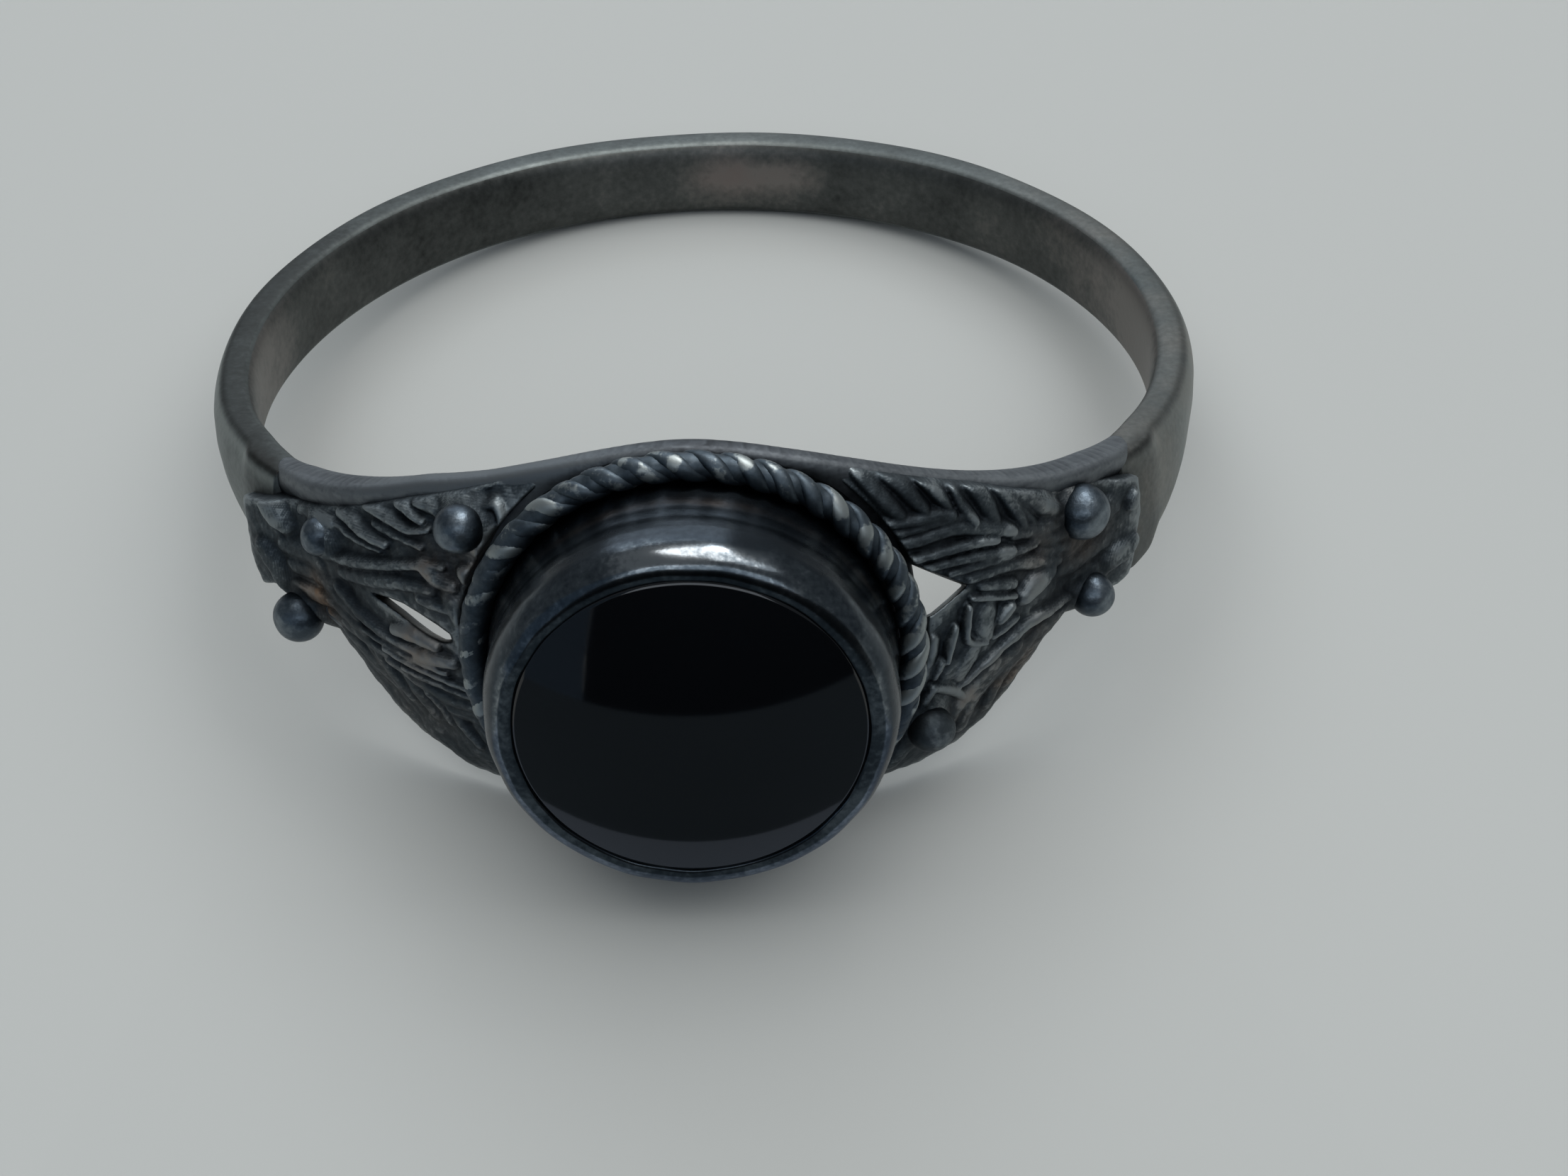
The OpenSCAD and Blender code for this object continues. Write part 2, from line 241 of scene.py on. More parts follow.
# The bore is rubbed on a flat at its back, and at these angles, each with its spread and strength
back_flat = np.exp(-((spin - 173) / 9) ** 4) * np.exp(-((level - 0.1) / 0.4) ** 2)
bore_wear = 0.44 + 0.4 * back_flat
for at, spread, much in ((98, 16, 0.4), (222, 22, -0.08), (267, 11, 0.3)):
    bore_wear = bore_wear + much * np.exp(-((spin - at) / spread) ** 2)
wear_and_painted_light = wear_and_painted_light + (bore_wear - wear_and_painted_light) * smooth_step(-0.35, -0.85, out)
outside = smooth_step(0, 0.6, out)
wear_and_painted_light = wear_and_painted_light - 0.25 * smooth_step(76, 66, away) * outside * smooth_step(0.9, 0.5, side)
wear_and_painted_light = wear_and_painted_light - np.where(on_left, 0.3, 0.35) * smooth_step(63, 59, away) * outside
wear_and_painted_light = wear_and_painted_light - 0.11 * smooth_step(110, 150, away) * smooth_step(-0.85, -0.35, out)
brown = 1.4 * back_flat + 0.25 * near_head * ~on_left
shank = add_piece("shank", points, faces, wear_and_painted_light.ravel(), band_finish, brown.ravel())
shank.data.materials.append(bore_finish)
inner = np.sin(turn) < -0.5
slots = np.zeros(len(shank.data.polygons), np.int32)
slots[:(len(spin) - 1) * len(turn)] = np.tile(inner & np.roll(inner, -1), len(spin) - 1)
shank.data.polygons.foreach_set("material_index", slots)

# Head plate: a curved sheet of silver under the head and the shoulders, whose edges rise in a
# wave towards the bezel. The sheet is sawn out, its pierced holes with it, and its edges are
# filed round, so they are the brightest line along the shoulders.
plate_t, plate_corner_r = 0.5, 0.16
plate_top_half, wave_angle, wave_power = 3.68, 36, 1.8
plate_sweep, plate_grid = 64, 0.05
rim_rise, end_thinning = 0.2, 0.15
border_r, twist_r = 3.68, 0.29
shoulder_angle, flat_r = 35, 9.5
# How far the middle of the plate's edges lies above the head's middle: angle, height
plate_lift = [(-66, -0.02), (-60, 0.05), (-54, 0.1), (-50, 0.17), (-40, 0.22), (-30, 0.24), (-22, 0.12),
              (-14, 0.06), (-8, 0.04), (10, 0.03), (20, 0.06), (50, 0.08), (60, -0.04)]
# Where the rim is rubbed more or less, and at -22 a painted highlight: angle, wear
rim_rub_and_highlight = [(-60, -0.15), (-45, -0.1), (-33, 0.15), (-22, 0.62), (-12, 0.05), (0, -0.5), (12, -0.3),
           (30, -0.08), (45, -0.03), (60, -0.1)]
# Pierced holes beside the border: angle, height, the left one as it lies after its half turn
right_hole = [(16, 1.8), (20.8, 1.45), (27.9, 0.58), (31, 0.25), (33.6, -0.35), (28.9, -0.74),
              (16, -0.5)]
left_hole = [(39.6, 0.7), (36.7, 0.88), (33.8, 1.02), (16, 0.95), (16, 0), (24.1, -0.1), (28.2, -0.3),
             (32.4, -0.3)]


def plate_half(angle):
    """Half the plate's width at an angle round the finger, in degrees."""
    wave = np.exp(-(np.abs(angle) / wave_angle) ** wave_power)
    return band_half_w + (plate_top_half - band_half_w) * wave


def flat(outline):
    """An outline of angles and heights, laid flat on the right shoulder."""
    return [[flat_r * sin(radians(a - shoulder_angle)), z] for a, z in outline]


def polygon_distance(x, y, corners):
    """How far points lie outside an outline, less than 0 inside it."""
    corners = np.asarray(corners, float)
    best = np.full(x.shape, 1e9)
    inside = np.zeros(x.shape, bool)
    for (ax, ay), (bx, by) in zip(corners, np.roll(corners, -1, 0)):
        ex, ey = bx - ax, by - ay
        part = np.clip(((x - ax) * ex + (y - ay) * ey) / (ex * ex + ey * ey), 0, 1)
        best = np.minimum(best, (x - ax - part * ex) ** 2 + (y - ay - part * ey) ** 2)
        inside ^= ((ay > y) != (by > y)) & (x < ex * (y - ay) / (ey if ey else 1e-9) + ax)
    return np.where(inside, -1, 1) * np.sqrt(best)


def pierced(angle, reach, level, hole):
    """How far points lie outside a pierced hole of the right shoulder. Angles are in radians."""
    gap = polygon_distance(reach * np.sin(angle - radians(shoulder_angle)), level, flat(hole))
    return np.maximum(gap, border_r + twist_r / 3 - np.hypot(reach * np.sin(angle), level))


def soft_max(a, b, width):
    """The larger of two values, blended over a width where they are close."""
    blend = np.maximum(width - np.abs(a - b), 0) / width
    return np.maximum(a, b) + blend * blend * width / 4


def rounded(a, b, radius):
    """The distance from a form bounded by two distances, with its corner rounded."""
    a, b = a + radius, b + radius
    return np.minimum(np.maximum(a, b), 0) + np.hypot(np.maximum(a, 0), np.maximum(b, 0)) - radius


def box_blur(field, cells):
    """The mean of each cell of a field and its neighbours, so many cells each way."""
    for axis in range(3):
        margins = [(cells + 1, cells) if k == axis else (0, 0) for k in range(3)]
        total = np.cumsum(np.pad(field, margins, mode="edge"), axis)
        size = 2 * cells + 1
        high = np.take(total, range(size, total.shape[axis]), axis)
        low = np.take(total, range(0, total.shape[axis] - size), axis)
        field = (high - low) / size
    return field


def skin_of(field, starts, step, mean_r):
    """The mesh of a distance field over angle, height and radius, and how worn each point is.
    What stands out has little metal round it and is worn, in a narrow and in a wide look."""
    grid = openvdb.FloatGrid(1.0)
    grid.copyFromArray(np.ascontiguousarray(np.clip(field, -4 * step, 4 * step), np.float32))
    cells, quads = grid.convertToQuads(0)
    angle = starts[0] + cells[:, 0] * step / mean_r
    level = starts[1] + cells[:, 1] * step
    reach = starts[2] + cells[:, 2] * step
    points = np.stack([reach * np.sin(angle), -reach * np.cos(angle), level], 1)
    solid = np.clip(0.5 - field / step, 0, 1).astype(np.float32)
    near, wide = box_blur(solid, 3), box_blur(solid, 7)
    at = tuple(np.clip(np.rint(cells).astype(int), 0, np.array(field.shape) - 1).T)
    wear_and_painted_light = 0.5 + 1.1 * (0.5 - near[at]) + 0.9 * (0.5 - wide[at])
    return points, quads[:, ::-1], np.clip(wear_and_painted_light, 0, 1)


def place_of(points):
    """The angle in degrees and the height of each point."""
    return np.degrees(np.arctan2(points[:, 0], -points[:, 1])), points[:, 2]


def thin_out(made, share, rounds):
    """Smooths a mesh a little and takes out the points that its surface can spare."""
    smoother = made.modifiers.new("settle", "SMOOTH")
    smoother.factor, smoother.iterations = 0.5, rounds
    reducer = made.modifiers.new("thin_out", "DECIMATE")
    reducer.ratio = share
    shown = made.evaluated_get(bpy.context.evaluated_depsgraph_get())
    fewer = bpy.data.meshes.new_from_object(shown)
    made.modifiers.clear()
    made.data = fewer


# Sheet with filed edges, blackened and rubbed by the fingers beside it: a smooth dark satin
rim_finish = oxidised_silver("oxidised_silver_rim",
                             [(0, "#191a1b"), (0.35, "#35373a"), (0.65, "#575b5f"), (1, "#767b7e")],
                             (0.64, 0.52), patch=1.1, grain=0.14, recess=0.5, wear_and_painted_light=0.8, bump=0.6)

step = plate_grid
mean_r = finger_r + plate_t / 2
starts = (-radians(plate_sweep + 2), -plate_top_half - 0.3, finger_r - 0.2)
counts = (int(2 * -starts[0] * mean_r / step), int(2 * -starts[1] / step),
          int((plate_t + rim_rise + 0.4) / step) + 1)
axes = [starts[i] + np.arange(counts[i]) * step / (mean_r if i == 0 else 1) for i in range(3)]
angle, level, reach = np.meshgrid(*axes, indexing="ij")
spin = np.degrees(angle)
away = np.abs(spin)

# The rim is hammered outwards along the shoulders, and the ends are thin where they run under
# the band's pads. 0.93 and 0.9 keep the distances true where the surfaces slope.
edge = np.abs(level - np.interp(spin, *zip(*plate_lift))) - plate_half(spin)
raised = rim_rise * smooth_step(28, 44, away) * smooth_step(-0.75, -0.25, edge)
raised = raised * np.where(angle < 0, 1 - 0.8 * smooth_step(46, 58, away),
                           1 - smooth_step(57, 61, away))
outer = reach - finger_r - plate_t - raised + end_thinning * smooth_step(54, 60, away)
thickness = np.maximum(finger_r - reach, 0.9 * outer)
edge = soft_max(edge * 0.93, (np.abs(angle) - radians(plate_sweep)) * mean_r, 0.3)
plate = rounded(thickness, edge, plate_corner_r)
plate = soft_max(plate, -pierced(angle, reach, level, right_hole), 0.12)
plate = box_blur(soft_max(plate, -pierced(-angle, reach, -level, left_hole), 0.12), 1)
points, faces, wear_and_painted_light = skin_of(plate, starts, step, mean_r)
wear_and_painted_light = wear_and_painted_light + np.interp(place_of(points)[0], *zip(*rim_rub_and_highlight))
thin_out(add_piece("head_plate", points, faces, wear_and_painted_light, rim_finish), 0.6, 22)

# Bezel cup: a plain round wall soldered on the plate, whose lip is burnished in over the stone's
# edge. The burnisher leaves it smooth and nearly black, with soft flats that bend its highlights.
cup_r, cup_wall, cup_bottom_r = 3.02, 0.35, 0.4
seat_h, floor_h = 9.35, 9.5
wall_top_h, lip_w, lip_rise, lip_inner_r = 11.14, 0.36, 0.63, 2.89
# How far the wall swells from its foot to its top: height, swell
wall_swell = [(seat_h + 0.01, 0.07), (9.85, 0.06), (10.1, 0.03), (10.3, 0.005), (10.58, 0.004),
              (10.75, 0.022), (10.95, 0.035), (wall_top_h, 0.03)]


def turned(profile, around, wobble=0.0, seed=0.0):
    """Rings turned about the stone's axis from (radius, height) points, slightly out of true."""
    profile = np.asarray(profile, float)
    turn = np.linspace(0, 2 * pi, around, endpoint=False)
    radius = np.repeat(profile[:, :1], around, 1)
    height = np.repeat(profile[:, 1:], around, 1)
    wave = np.sin(7 * turn + seed) + 0.6 * np.sin(13 * turn + 2 * seed) + 0.5 * np.sin(23 * turn + seed)
    radius = radius + wobble * (wave[None, :] + 0.8 * np.sin(17 * turn[None, :] + 3 * height))
    return np.stack([radius * np.cos(turn), -height, radius * np.sin(turn)], -1)


# Burnished silver: hard rubbing closes the surface, so the edge mirrors and the wall stays satin
bezel_finish = oxidised_silver("oxidised_silver_burnished",
                               [(0, "#14171a"), (0.4, "#262c31"), (0.72, "#3f464c"),
                                (0.85, "#596065"), (1, "#92979a")],
                               (0.4, 0.16), patch=1.2, grain=0.1, recess=0.3, wear_and_painted_light=0.7, bump=0.35,
                               scratch=0.9)

foot_r, outer_r = border_r - 0.05, cup_r + cup_wall
foot = [(cup_bottom_r, 8.8), (foot_r, 8.8), (foot_r, seat_h - 0.04), (border_r - 0.1, seat_h)]
wall = [(outer_r + np.interp(h, *zip(*wall_swell)), h)
        for h in np.linspace(seat_h + 0.01, wall_top_h, 40)]
lip = [(outer_r + 0.03 - (lip_w + 0.03) * (1 - cos(t)), wall_top_h + lip_rise * sin(t))
       for t in np.linspace(0.05, pi / 2, 22)]
crest_r, crest_h = lip[-1]
inside = [(crest_r - 0.06, crest_h - 0.002), (lip_inner_r + 0.02, crest_h - 0.01),
          (lip_inner_r, crest_h - 0.036), (lip_inner_r + 0.005, crest_h - 0.1), (cup_r - 0.02, 11.4),
          (cup_r, floor_h), (cup_bottom_r, floor_h)]
rings = turned(foot + wall + lip + inside, 240, 0.006, 1.3)
points, faces = loft(rings)

# The lip's upper side is lighter, brightest in a band across its top, as a painted highlight, and
# its other sides are a little darker as painted shade. Its crest is rubbed lightest down to the
# stone's edge, but hardly on the upper side, and it is darker at its inner edge against the stone
height = -rings[:, :, 1]
out_r = np.hypot(rings[:, :, 0], rings[:, :, 2])
facing_up = rings[:, :, 2] / out_r
on_top = smooth_step(0.1, 0.75, facing_up)
band_of_light = smooth_step(11.35, 11.5, height) * smooth_step(11.74, 11.68, height)
wear_and_painted_light = (0.34 + 0.24 * on_top * smooth_step(11.1, 11.4, height)
        - 0.08 * (1 - on_top) * smooth_step(11.0, 11.3, height)
        + 0.24 * smooth_step(0.9, 1, facing_up) * band_of_light
        + 0.45 * (1 - 0.9 * on_top) * smooth_step(11.6, 11.75, height)
        - 0.3 * smooth_step(2.905, 2.895, out_r))
# A brown band round the upper side of the wall, a painted reflection of what the wall mirrors there
brown = 0.6 * np.exp(-((height - 10.2) / 0.13) ** 2) * (facing_up > 0)
add_piece("bezel_cup", points, faces, wear_and_painted_light.ravel(), bezel_finish, brown.ravel())

# Twisted wire border: two round silver wires twisted tightly together and soldered round the foot
# of the bezel. Wear has flattened the crests of the twist, so each strand shows a bright fleck, and
# some flecks are painted highlights where the strands catch the light.
rope_h, rope_turns, strand_r = 9.59, 21, 0.152
solder_core_r, worn_crest_r = 0.21, 0.262
# Crests that are rubbed bright, partly painted highlights: angle round the stone, spread, strength
flecks_and_glints = [(358, 3.5, 0.45), (349, 3.5, 0.45), (75, 1, 0.3), (92, 1, 0.3), (104, 1, 0.3), (49, 1, 0.25),
          (40, 1, 0.35), (31, 1, 0.2), (21, 1, 0.2), (5, 1.2, 0.3), (130, 1.2, 0.3), (141, 1.2, 0.3)]

# Drawn wire, black between the strands and matt grey on top, with its flecks and painted
# highlights nearly white
rope_finish = oxidised_silver("oxidised_silver_twist",
                              [(0, "#1f2429"), (0.35, "#2c3339"), (0.6, "#3d464d"), (0.9, "#565f66"),
                               (1, "#9aa09f")],
                              (0.62, 0.5), patch=0.8, grain=0.1, recess=0.2, bump=0.5)

steps = rope_turns * 30
along = np.linspace(0, 2 * pi, steps, endpoint=False)
outward = np.stack([np.cos(along), np.zeros(steps), np.sin(along)], 1)
upward = np.array([0, -1.0, 0])
core = border_r * outward + rope_h * upward
rubbed_away = (np.exp(-((along - radians(175)) / 0.95) ** 2)
               + 0.8 * np.exp(-((along - radians(335)) / 0.35) ** 2))

# The solder fills the middle of the twist and shows most where the strands are rubbed away
turn = np.linspace(0, 2 * pi, 14, endpoint=False)[:, None]
solder_r = solder_core_r + 0.035 * rubbed_away + 0.012 * np.sin(29 * along) + 0.008 * np.sin(71 * along)
circle = np.cos(turn) * outward[:, None, :] + np.sin(turn) * upward
ring = core[:, None, :] + solder_r[:, None, None] * circle
points, faces = loft(ring, closed=True)
add_piece("border_solder", points, faces, np.full(len(points), 0.54), rope_finish)

turn = np.linspace(0, 2 * pi, 16, endpoint=False)[:, None]
for strand in range(2):
    twist = -rope_turns * along + strand * pi + 0.25 * np.sin(3 * along + 1) + 0.16 * np.sin(8 * along)
    leaning = np.cos(twist)[:, None] * outward + np.sin(twist)[:, None] * upward
    offset = twist_r - strand_r + 0.004 * np.sin(17 * along)
    centre = core + offset[:, None] * leaning
    forward = np.roll(centre, -1, 0) - np.roll(centre, 1, 0)
    forward /= np.linalg.norm(forward, axis=1)[:, None]
    sideways = np.cross(forward, leaning)
    sideways /= np.linalg.norm(sideways, axis=1)[:, None]
    circle = np.cos(turn) * leaning[:, None, :] + np.sin(turn) * sideways[:, None, :]
    ring = centre[:, None, :] + strand_r * circle
    # Crests beyond the worn radius are pressed down to a third of their height
    spread = ring - core[:, None, :]
    far = np.linalg.norm(spread, axis=2)
    worn_to = worn_crest_r + 0.01 * np.sin(41 * along)[:, None] - 0.03 * rubbed_away[:, None]
    worn = np.minimum(far, worn_to + (far - worn_to) * 0.3)
    points, faces = loft(core[:, None, :] + spread * (worn / far)[:, :, None], closed=True)
    bright = (0.9 + 0.12 * np.sin(23 * along + strand) + 0.12 * np.sin(37 * along + 2 * strand)
              + 0.25 * np.cos(along) ** 2)
    wear_and_painted_light = np.clip((far - 0.07) / 0.24, 0, 0.9) * 0.66 * bright[:, None] + 0.07
    # A fleck is drawn from either side, so that it runs on past 0 and is twice as strong at its middle
    for spot, width, much in flecks_and_glints:
        for gap in (np.degrees(along)[:, None] - spot, spot - np.degrees(along)[:, None]):
            wear_and_painted_light = wear_and_painted_light + much * np.exp(-(gap % 360 / width) ** 2)
    add_piece(f"border_strand_{strand + 1}", points, faces, wear_and_painted_light.ravel(), rope_finish)

# Leaf shoulders: two castings, each a pair of feathered leaves that spread from the band's end to
# the bezel with a smooth bud between them. They are soldered over the plate and pierced with it.
# The recesses are black, the ribs and the barbs' edges are rubbed grey, and brown tarnish stays.
leaf_head_t, leaf_end_t, head_angle, end_angle = 1.3, 0.8, radians(22), radians(48)
belly_r, end_rise = 6.0, 0.65
ground_depth, roll_w, roll_drop = 0.13, 0.6, 0.35
leaf_from, leaf_top = 15, 4.05
leaf_grid, leaf_triangles = 0.032, 190000
rope_gap = 0.16
mm_per_degree = 0.1658

# The leaves' long curve is an arc through their heights at the head's end and at the band's end
leaf_top_r, leaf_low_r = finger_r + leaf_head_t, finger_r + leaf_end_t
leaf_centre = ((leaf_top_r ** 2 - leaf_low_r ** 2)
               / (2 * (leaf_top_r * cos(head_angle) - leaf_low_r * cos(end_angle))))
leaf_r = (leaf_top_r ** 2 - 2 * leaf_top_r * leaf_centre * cos(head_angle) + leaf_centre ** 2) ** 0.5


def bellied(angle, level, lower):
    """Radius of the leaves' surface at an angle and height. It swells between its two edges, less
    so on the lower side, where lower is more than 0, and its end rises over the band's pad."""
    fall = belly_r - np.sqrt(np.maximum(belly_r ** 2 - level ** 2, 0))
    sweep = leaf_r - fall * (1 - 0.4 * smooth_step(1.8, 3.0, lower))
    chord = np.sqrt(np.maximum(sweep ** 2 - (leaf_centre * np.sin(angle)) ** 2, 0))
    reach = leaf_centre * np.cos(angle) + chord
    return reach + end_rise * smooth_step(radians(46), radians(57), angle)


def eased(path, count=9):
    """A smooth line through a barb's points of angle and height."""
    path = np.array(path, float)
    if len(path) < 3:
        return path
    at = np.linspace(0, len(path) - 1, count)
    k = np.clip(at.astype(int), 0, len(path) - 2)
    t = (at - k)[:, None]
    before, after = path[np.maximum(k - 1, 0)], path[np.minimum(k + 2, len(path) - 1)]
    a, b = path[k], path[k + 1]
    return 0.5 * (2 * a + (b - before) * t + (2 * before - 5 * a + 4 * b - after) * t ** 2
                  + (3 * a - before - 3 * b + after) * t ** 3)


def feathered(angle, level, strokes, relief):
    """Raises the ribs, barbs and buds from the leaves' ground. Each is a path of angle and height,
    its half width, the height of its crest from root to tip, and how far its sides fall."""
    x, y = np.degrees(angle) * mm_per_degree, level
    for path, half, crest, fall in strokes:
        path = eased(path)
        px, py = path[:, 0] * mm_per_degree, path[:, 1]
        near = np.full(x.shape, 1e9)
        along = np.zeros(x.shape)
        for i in range(len(px) - 1):
            ex, ey = px[i + 1] - px[i], py[i + 1] - py[i]
            part = np.clip(((x - px[i]) * ex + (y - py[i]) * ey) / (ex * ex + ey * ey), 0, 1)
            gap = np.hypot(x - px[i] - part * ex, y - py[i] - part * ey)
            along = np.where(gap < near, (i + part) / (len(px) - 1), along)
            near = np.minimum(near, gap)
        # A barb is widest a third of the way along, and its round crest has straight flanks
        width = 1.25 * half * np.interp(along, [0, 0.35, 1], [0.85, 1.05, 0.75])
        across = near / width
        top = np.interp(along, np.linspace(0, 1, len(crest)), crest)
        ridge = 0.7 * top - 0.64 * fall * np.where(across < 1, across ** 2.4, 1 + 2.4 * (across - 1))
        relief = soft_max(relief, ridge, 0.035)
    return relief


# Barbs of the upper leaf as it lies on the right, from its granule to the bezel: a path of angle
# and height, half width, height of the crest along it, and how far its sides fall
upper_leaf = [
    ([(41.8, 1.07), (39.5, 1.35), (37.6, 1.6), (35.4, 1.9)], 0.15, (0.0, 0.07, 0.05, 0), 0.16),
    ([(38.6, 0.98), (37.4, 1.25), (36, 1.62), (34.4, 1.96)], 0.08, (-0.06, -0.03, -0.06), 0.14),
    ([(36.5, 1.12), (35.8, 1.44), (34.7, 1.76), (33.2, 2.08)], 0.12, (-0.02, 0.04, 0.03, 0), 0.16),
    ([(32.6, 1.5), (31.7, 1.9), (30.2, 2.25)], 0.14, (-0.02, 0.02, -0.02), 0.16),
    ([(29.9, 1.66), (28.8, 1.95), (28, 2.28)], 0.1, (0.08, 0.02, 0), 0.18),
    ([(27.2, 2.04), (26.2, 2.28), (24.4, 2.6)], 0.1, (-0.02, 0.06, 0.02), 0.18),
    ([(24.4, 2.12), (22.6, 2.5), (20.6, 2.8)], 0.12, (-0.02, 0, -0.03), 0.16),
    ([(21.6, 2.14), (19.6, 2.55), (17.6, 2.95)], 0.13, (-0.02, 0, -0.03), 0.16),
    ([(27.5, 1.9), (25.7, 1.97), (23.6, 1.98), (20, 2.05)], 0.095, (0.03, 0, 0, -0.02), 0.16),
    ([(29.4, 1.78), (26.2, 1.84), (22.5, 1.84), (19.6, 1.86)], 0.07, (-0.03, -0.03, -0.05), 0.12),
    ([(34.6, 1.2), (31.8, 1.41), (27.5, 1.66), (23.3, 1.65), (20.4, 1.7)], 0.115,
     (0.07, 0.02, 0, 0), 0.17),
    ([(32.3, 1.19), (29.8, 1.27), (27.2, 1.31), (22, 1.36)], 0.09, (0.08, 0.02, 0, 0), 0.18),
    ([(34.3, 0.86), (31.8, 0.97), (29.6, 1.03), (26.2, 1.11), (23.6, 1.14)], 0.09,
     (0.08, 0.04, 0, 0), 0.18),
    ([(37.6, 0.72), (33, 0.8), (29.6, 0.86), (26.4, 0.9)], 0.085, (0, 0, -0.02), 0.14),
    ([(41.4, 0.1), (37.7, 0.38), (34.1, 0.58), (28.8, 0.66)], 0.12, (0, 0.03, 0, -0.02), 0.14),
    ([(44, 0.86), (40.2, 0.9), (37, 1.02), (34.8, 1.1)], 0.13, (0, 0, -0.02), 0.12),
    ([(44, 0.55), (40.5, 0.66), (37.6, 0.82)], 0.12, (-0.02, 0, -0.03), 0.1),
    ([(44, 0.24), (41.5, 0.36), (38.6, 0.52)], 0.13, (-0.03, 0, -0.03), 0.12),
]
# Barbs and midrib of the lower leaf, and the scales and the bud between the two leaves
lower_leaf = [
    ([(46, -1.0), (42.6, -0.9), (38, -0.9), (35.2, -0.99), (33.3, -1.16), (31.2, -1.33), (29.4, -1.51),
      (27, -1.68)], 0.11, (0, 0.03, 0.09, 0.02, 0.07, 0, 0.07, 0.01, 0.06, 0), 0.2),
    ([(44.4, -1.15), (41.4, -1.32), (38.4, -1.62), (36, -2.2)], 0.17, (-0.02, 0, -0.02), 0.13),
    ([(41.4, -1.18), (38.2, -1.44), (35.2, -1.82), (33, -2.5)], 0.17, (-0.05, 0, -0.02), 0.14),
    ([(36.4, -1.42), (33.6, -1.7), (30.8, -2.2), (29.4, -2.7)], 0.19, (-0.04, 0, -0.02), 0.15),
    ([(33, -1.52), (30.6, -1.84), (28.2, -2.35), (26.6, -2.9)], 0.18, (-0.02, 0, -0.02), 0.15),
    ([(24.5, -1.34), (27.4, -1.66), (29.8, -2.12)], 0.11, (0.1, 0.1, 0.02), 0.24),
    ([(24.5, -1.36), (24, -1.66), (23.6, -2.0)], 0.1, (0.1, 0.06, 0), 0.22),
    ([(22.2, -1.3), (21.6, -1.75), (20.8, -2.3)], 0.14, (-0.04, 0, -0.03), 0.16),
    ([(23.6, -2.2), (22, -2.7), (20.6, -3.1)], 0.17, (-0.03, 0, -0.03), 0.15),
    ([(20.6, -2.4), (19, -2.9), (17.6, -3.3)], 0.15, (-0.03, 0, -0.03), 0.15),
    ([(26.9, -1.05), (26.4, -1.3)], 0.2, (-0.06, -0.06), 0.12),
    ([(39.8, 0.0), (37.9, -0.06), (36.2, -0.2)], 0.23, (0.06, 0.13, 0.1), 0.24),
    ([(34.6, -0.08), (31.2, 0.15), (28.9, 0.27)], 0.075, (0.02, 0.03, -0.02), 0.2),
    ([(34.4, 0.18), (32.4, 0.3), (30.2, 0.42)], 0.12, (0, 0, -0.04), 0.16),
    ([(33.9, -0.24), (32.6, -0.42)], 0.13, (0.1, 0.07), 0.24),
    ([(30.9, -0.08), (30.7, -0.35), (31, -0.66)], 0.2, (-0.02, 0, -0.03), 0.14),
    ([(28.5, 0.13), (28.2, -0.2), (28.5, -0.6), (30.9, -0.79)], 0.075, (0.03, 0.07, 0.04, 0.04), 0.22),
    ([(26.9, -0.18), (26.3, -0.5), (26, -0.86)], 0.085, (0.02, 0.06, 0.06), 0.22),
    ([(29.4, -0.8), (28.5, -1.1), (28, -1.4)], 0.21, (-0.02, 0, -0.02), 0.16),
    ([(25.3, -0.84), (24.7, -1.14)], 0.1, (0.04, 0.02), 0.2),
    ([(24.4, -0.3), (24, -0.8), (23.4, -1.3)], 0.12, (-0.05, -0.05, -0.08), 0.14),
    ([(35.4, -0.62), (34, -0.72), (32, -0.8)], 0.07, (-0.06, -0.04, -0.06), 0.14),
]
# The castings' ends between the granules and the band
right_end = [
    ([(50.5, 0.5), (47, 0.25), (43.4, 0.1)], 0.22, (-0.06, -0.03, -0.06), 0.12),
    ([(49.5, -0.2), (46, -0.3), (42.5, -0.18)], 0.2, (-0.06, -0.03, -0.06), 0.13),
    ([(53.6, -0.5), (51.4, -0.62), (49.6, -0.9)], 0.21, (0.02, 0.05, 0), 0.18),
    ([(53.4, 0.55), (52.8, 0.35)], 0.1, (0.03, 0.03), 0.16),
    ([(48.6, -0.7), (45.6, -0.62)], 0.16, (-0.04, -0.06), 0.13),
]
